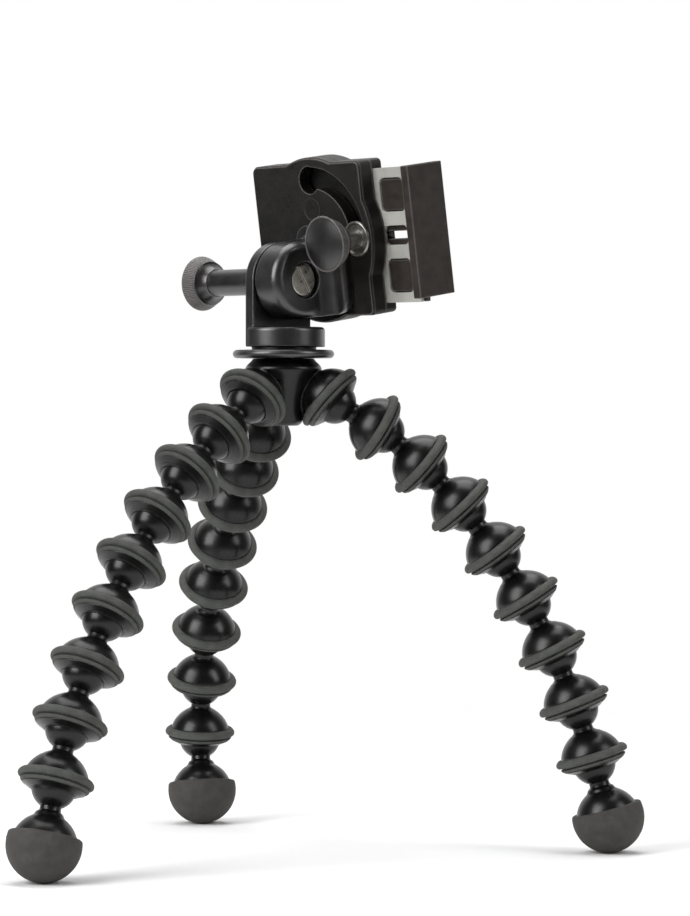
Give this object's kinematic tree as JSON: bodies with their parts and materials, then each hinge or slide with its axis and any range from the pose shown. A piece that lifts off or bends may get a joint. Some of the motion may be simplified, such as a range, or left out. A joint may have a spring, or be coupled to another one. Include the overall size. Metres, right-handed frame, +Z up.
{
  "type": "flexible-leg phone tripod",
  "caption": "Small tripod with flexible ball-and-socket legs and a tilting, swinging spring clamp that holds a phone.",
  "frame": {"origin": "point on the floor under the axis on which the base pans", "axes": "+Z up, +X along the jaw's travel toward the sliding jaw, -Y toward the clamp's front with its knobs"},
  "size_m": [0.1899, 0.2181, 0.2347],
  "materials": {
    "gloss_black": "polished moulding",
    "grey_rubber": "matt",
    "pad_rubber": "matt",
    "satin_black": "satin",
    "grained_plastic": "fine grain",
    "slide_metal": "light grey",
    "nickel": "bright nickel",
    "dark_steel": "black oxide",
    "steel": "turned"
  },
  "bodies": {
    "hub": {"hub": "gloss_black", "hub_rings": "grey_rubber", "lock_stud": "steel"},
    "lock": {"lock_disc": "satin_black"},
    "base": {"base": "satin_black"},
    "tilt": {"tilt_block": "satin_black", "tilt_nut": "nickel", "swing_pivot": "steel", "swing_plate": "dark_steel", "swing_rider": "steel"},
    "tilt_lock": {"tilt_knob": "satin_black", "tilt_sleeve": "satin_black", "tilt_bolt": "steel", "thrust_washer": "dark_steel"},
    "swing_lock": {"swing_knob": "satin_black", "swing_bolt": "steel", "swing_washer": "steel"},
    "clamp": {"clamp_front": "grained_plastic", "clamp_rear": "grained_plastic", "clamp_screws": "steel", "guide_rod": "steel", "fixed_pad": "pad_rubber", "seat_pads": "pad_rubber"},
    "jaw": {"slide_plate": "slide_metal", "sliding_jaw": "grained_plastic", "jaw_rivets": "steel", "jaw_pad": "pad_rubber"},
    "leg_a_link_1": {"leg_a_link_1": "gloss_black"},
    "leg_a_link_2": {"leg_a_link_2": "gloss_black"},
    "leg_a_link_3": {"leg_a_link_3": "gloss_black"},
    "leg_a_link_4": {"leg_a_link_4": "gloss_black"},
    "leg_a_link_5": {"leg_a_link_5": "gloss_black"},
    "leg_a_link_6": {"leg_a_link_6": "gloss_black"},
    "leg_a_link_7": {"leg_a_link_7": "gloss_black"},
    "leg_a_link_8": {"leg_a_link_8": "gloss_black"},
    "leg_a_foot": {"leg_a_foot": "gloss_black", "leg_a_boot": "grey_rubber"},
    "leg_b_link_1": {"leg_b_link_1": "gloss_black"},
    "leg_b_link_2": {"leg_b_link_2": "gloss_black"},
    "leg_b_link_3": {"leg_b_link_3": "gloss_black"},
    "leg_b_link_4": {"leg_b_link_4": "gloss_black"},
    "leg_b_link_5": {"leg_b_link_5": "gloss_black"},
    "leg_b_link_6": {"leg_b_link_6": "gloss_black"},
    "leg_b_link_7": {"leg_b_link_7": "gloss_black"},
    "leg_b_link_8": {"leg_b_link_8": "gloss_black"},
    "leg_b_foot": {"leg_b_foot": "gloss_black", "leg_b_boot": "grey_rubber"},
    "leg_c_link_1": {"leg_c_link_1": "gloss_black"},
    "leg_c_link_2": {"leg_c_link_2": "gloss_black"},
    "leg_c_link_3": {"leg_c_link_3": "gloss_black"},
    "leg_c_link_4": {"leg_c_link_4": "gloss_black"},
    "leg_c_link_5": {"leg_c_link_5": "gloss_black"},
    "leg_c_link_6": {"leg_c_link_6": "gloss_black"},
    "leg_c_link_7": {"leg_c_link_7": "gloss_black"},
    "leg_c_link_8": {"leg_c_link_8": "gloss_black"},
    "leg_c_foot": {"leg_c_foot": "gloss_black", "leg_c_boot": "grey_rubber"}
  },
  "joints": [
    {"name": "base_pan", "type": "hinge", "parent": "hub", "child": "base", "pos_m": [0, 0, 0.16964], "axis": [0, 0, 1], "continuous": true},
    {"name": "clamp_tilt", "type": "hinge", "parent": "base", "child": "tilt", "pos_m": [0, 0, 0.19174], "axis": [1, 0, 0], "range_deg": [-8, 81]},
    {"name": "clamp_swing", "type": "hinge", "parent": "tilt", "child": "clamp", "pos_m": [0.0032, 0.0114, 0.20547], "axis": [0, 0.989, 0.1478], "range_deg": [0, 90]},
    {"name": "jaw_slide", "type": "slide", "parent": "clamp", "child": "jaw", "axis": [-1, 0, 0], "range_m": [-0.024, 0.011], "stiffness_N_per_m": 180, "springref_m": 0.016},
    {"name": "lock_disc_turn", "type": "hinge", "parent": "hub", "child": "lock", "pos_m": [0, 0, 0.16724], "axis": [0, 0, 1], "continuous": true},
    {"name": "tilt_knob_turn", "type": "hinge", "parent": "base", "child": "tilt_lock", "pos_m": [-0.0052, 0, 0.19174], "axis": [1, 0, 0], "continuous": true},
    {"name": "swing_knob_turn", "type": "hinge", "parent": "tilt", "child": "swing_lock", "pos_m": [0.0244, 0.0114, 0.20547], "axis": [0, 0.989, 0.1478], "continuous": true},
    {"name": "leg_a_ball_1", "type": "hinge", "parent": "hub", "child": "leg_a_link_1", "pos_m": [0.00211, -0.01722, 0.15114], "axis": [-1, 0, 0], "range_deg": [-31, 23]},
    {"name": "leg_a_ball_2", "type": "hinge", "parent": "leg_a_link_1", "child": "leg_a_link_2", "pos_m": [0.00211, -0.03235, 0.13932], "axis": [0.0221, -0.6736, 0.7387], "range_deg": [-29, 26]},
    {"name": "leg_a_ball_3", "type": "hinge", "parent": "leg_a_link_2", "child": "leg_a_link_3", "pos_m": [0.00258, -0.04653, 0.12638], "axis": [0.9979, 0.0654, 0], "range_deg": [-32, 23]},
    {"name": "leg_a_ball_4", "type": "hinge", "parent": "leg_a_link_3", "child": "leg_a_link_4", "pos_m": [0.00344, -0.05965, 0.11239], "axis": [-0.0763, 0.7748, -0.6276], "range_deg": [-26, 28]},
    {"name": "leg_a_ball_5", "type": "hinge", "parent": "leg_a_link_4", "child": "leg_a_link_5", "pos_m": [0.00462, -0.07165, 0.09744], "axis": [-0.9914, -0.1305, 0], "range_deg": [-23, 32]},
    {"name": "leg_a_ball_6", "type": "hinge", "parent": "leg_a_link_5", "child": "leg_a_link_6", "pos_m": [0.00604, -0.08243, 0.08162], "axis": [0.1409, -0.8534, 0.5019], "range_deg": [-28, 26]},
    {"name": "leg_a_ball_7", "type": "hinge", "parent": "leg_a_link_6", "child": "leg_a_link_7", "pos_m": [0.00761, -0.09194, 0.06501], "axis": [0.9808, 0.1951, 0], "range_deg": [-32, 23]},
    {"name": "leg_a_ball_8", "type": "hinge", "parent": "leg_a_link_7", "child": "leg_a_link_8", "pos_m": [0.00924, -0.10012, 0.04772], "axis": [-0.2115, 0.9069, -0.3645], "range_deg": [-26, 28]},
    {"name": "leg_a_ball_9", "type": "hinge", "parent": "leg_a_link_8", "child": "leg_a_foot", "pos_m": [0.01083, -0.10693, 0.02984], "axis": [-0.9659, -0.2588, 0], "range_deg": [-23, 32]},
    {"name": "leg_b_ball_1", "type": "hinge", "parent": "hub", "child": "leg_b_link_1", "pos_m": [0.01386, 0.01044, 0.15114], "axis": [0.848, -0.5299, 0], "range_deg": [-37, 10]},
    {"name": "leg_b_ball_2", "type": "hinge", "parent": "leg_b_link_1", "child": "leg_b_link_2", "pos_m": [0.02261, 0.02446, 0.14136], "axis": [0.3656, 0.5344, 0.7621], "range_deg": [-24, 28]},
    {"name": "leg_b_ball_3", "type": "hinge", "parent": "leg_b_link_2", "child": "leg_b_link_3", "pos_m": [0.03087, 0.03653, 0.12893], "axis": [-0.8013, 0.5983, 0], "range_deg": [-34, 21]},
    {"name": "leg_b_ball_4", "type": "hinge", "parent": "leg_b_link_3", "child": "leg_b_link_4", "pos_m": [0.03871, 0.04702, 0.11489], "axis": [-0.5029, -0.6182, -0.6041], "range_deg": [-29, 25]},
    {"name": "leg_b_ball_5", "type": "hinge", "parent": "leg_b_link_4", "child": "leg_b_link_5", "pos_m": [0.04603, 0.05602, 0.09959], "axis": [0.749, -0.6626, 0], "range_deg": [-22, 33]},
    {"name": "leg_b_ball_6", "type": "hinge", "parent": "leg_b_link_5", "child": "leg_b_link_6", "pos_m": [0.05273, 0.0636, 0.08327], "axis": [0.6187, 0.6435, 0.4506], "range_deg": [-26, 28]},
    {"name": "leg_b_ball_7", "type": "hinge", "parent": "leg_b_link_6", "child": "leg_b_link_7", "pos_m": [0.05873, 0.06984, 0.06613], "axis": [-0.6915, 0.7224, 0], "range_deg": [-32, 23]},
    {"name": "leg_b_ball_8", "type": "hinge", "parent": "leg_b_link_7", "child": "leg_b_link_8", "pos_m": [0.06393, 0.07481, 0.04833], "axis": [-0.716, -0.6307, -0.2994], "range_deg": [-28, 26]},
    {"name": "leg_b_ball_9", "type": "hinge", "parent": "leg_b_link_8", "child": "leg_b_foot", "pos_m": [0.06824, 0.07861, 0.03001], "axis": [0.6293, -0.7771, 0], "range_deg": [-25, 30]},
    {"name": "leg_c_ball_1", "type": "hinge", "parent": "hub", "child": "leg_c_link_1", "pos_m": [-0.01597, 0.00678, 0.15114], "axis": [0.4226, 0.9063, 0], "range_deg": [-30, 25]},
    {"name": "leg_c_ball_2", "type": "hinge", "parent": "leg_c_link_1", "child": "leg_c_link_2", "pos_m": [-0.02946, 0.01307, 0.139], "axis": [-0.581, 0.2733, 0.7666], "range_deg": [-27, 28]},
    {"name": "leg_c_ball_3", "type": "hinge", "parent": "leg_c_link_2", "child": "leg_c_link_3", "pos_m": [-0.04278, 0.01933, 0.12668], "axis": [-0.4285, -0.9035, 0], "range_deg": [-30, 25]},
    {"name": "leg_c_ball_4", "type": "hinge", "parent": "leg_c_link_3", "child": "leg_c_link_4", "pos_m": [-0.05559, 0.02541, 0.11373], "axis": [0.6565, -0.314, -0.6859], "range_deg": [-27, 27]},
    {"name": "leg_c_ball_5", "type": "hinge", "parent": "leg_c_link_4", "child": "leg_c_link_5", "pos_m": [-0.06747, 0.03109, 0.09976], "axis": [0.4344, 0.9007, 0], "range_deg": [-21, 34]},
    {"name": "leg_c_ball_6", "type": "hinge", "parent": "leg_c_link_5", "child": "leg_c_link_6", "pos_m": [-0.07789, 0.03612, 0.08444], "axis": [-0.7874, 0.383, 0.4831], "range_deg": [-26, 26]},
    {"name": "leg_c_ball_7", "type": "hinge", "parent": "leg_c_link_6", "child": "leg_c_link_7", "pos_m": [-0.08623, 0.04018, 0.06763], "axis": [-0.4403, -0.8978, 0], "range_deg": [-38, 17]},
    {"name": "leg_c_ball_8", "type": "hinge", "parent": "leg_c_link_7", "child": "leg_c_link_8", "pos_m": [-0.09175, 0.04288, 0.04944], "axis": [0.8908, -0.4405, -0.1111], "range_deg": [-25, 25]},
    {"name": "leg_c_ball_9", "type": "hinge", "parent": "leg_c_link_8", "child": "leg_c_foot", "pos_m": [-0.09366, 0.04383, 0.03036], "axis": [0.4462, 0.8949, 0], "range_deg": [-11, 44]}
  ]
}
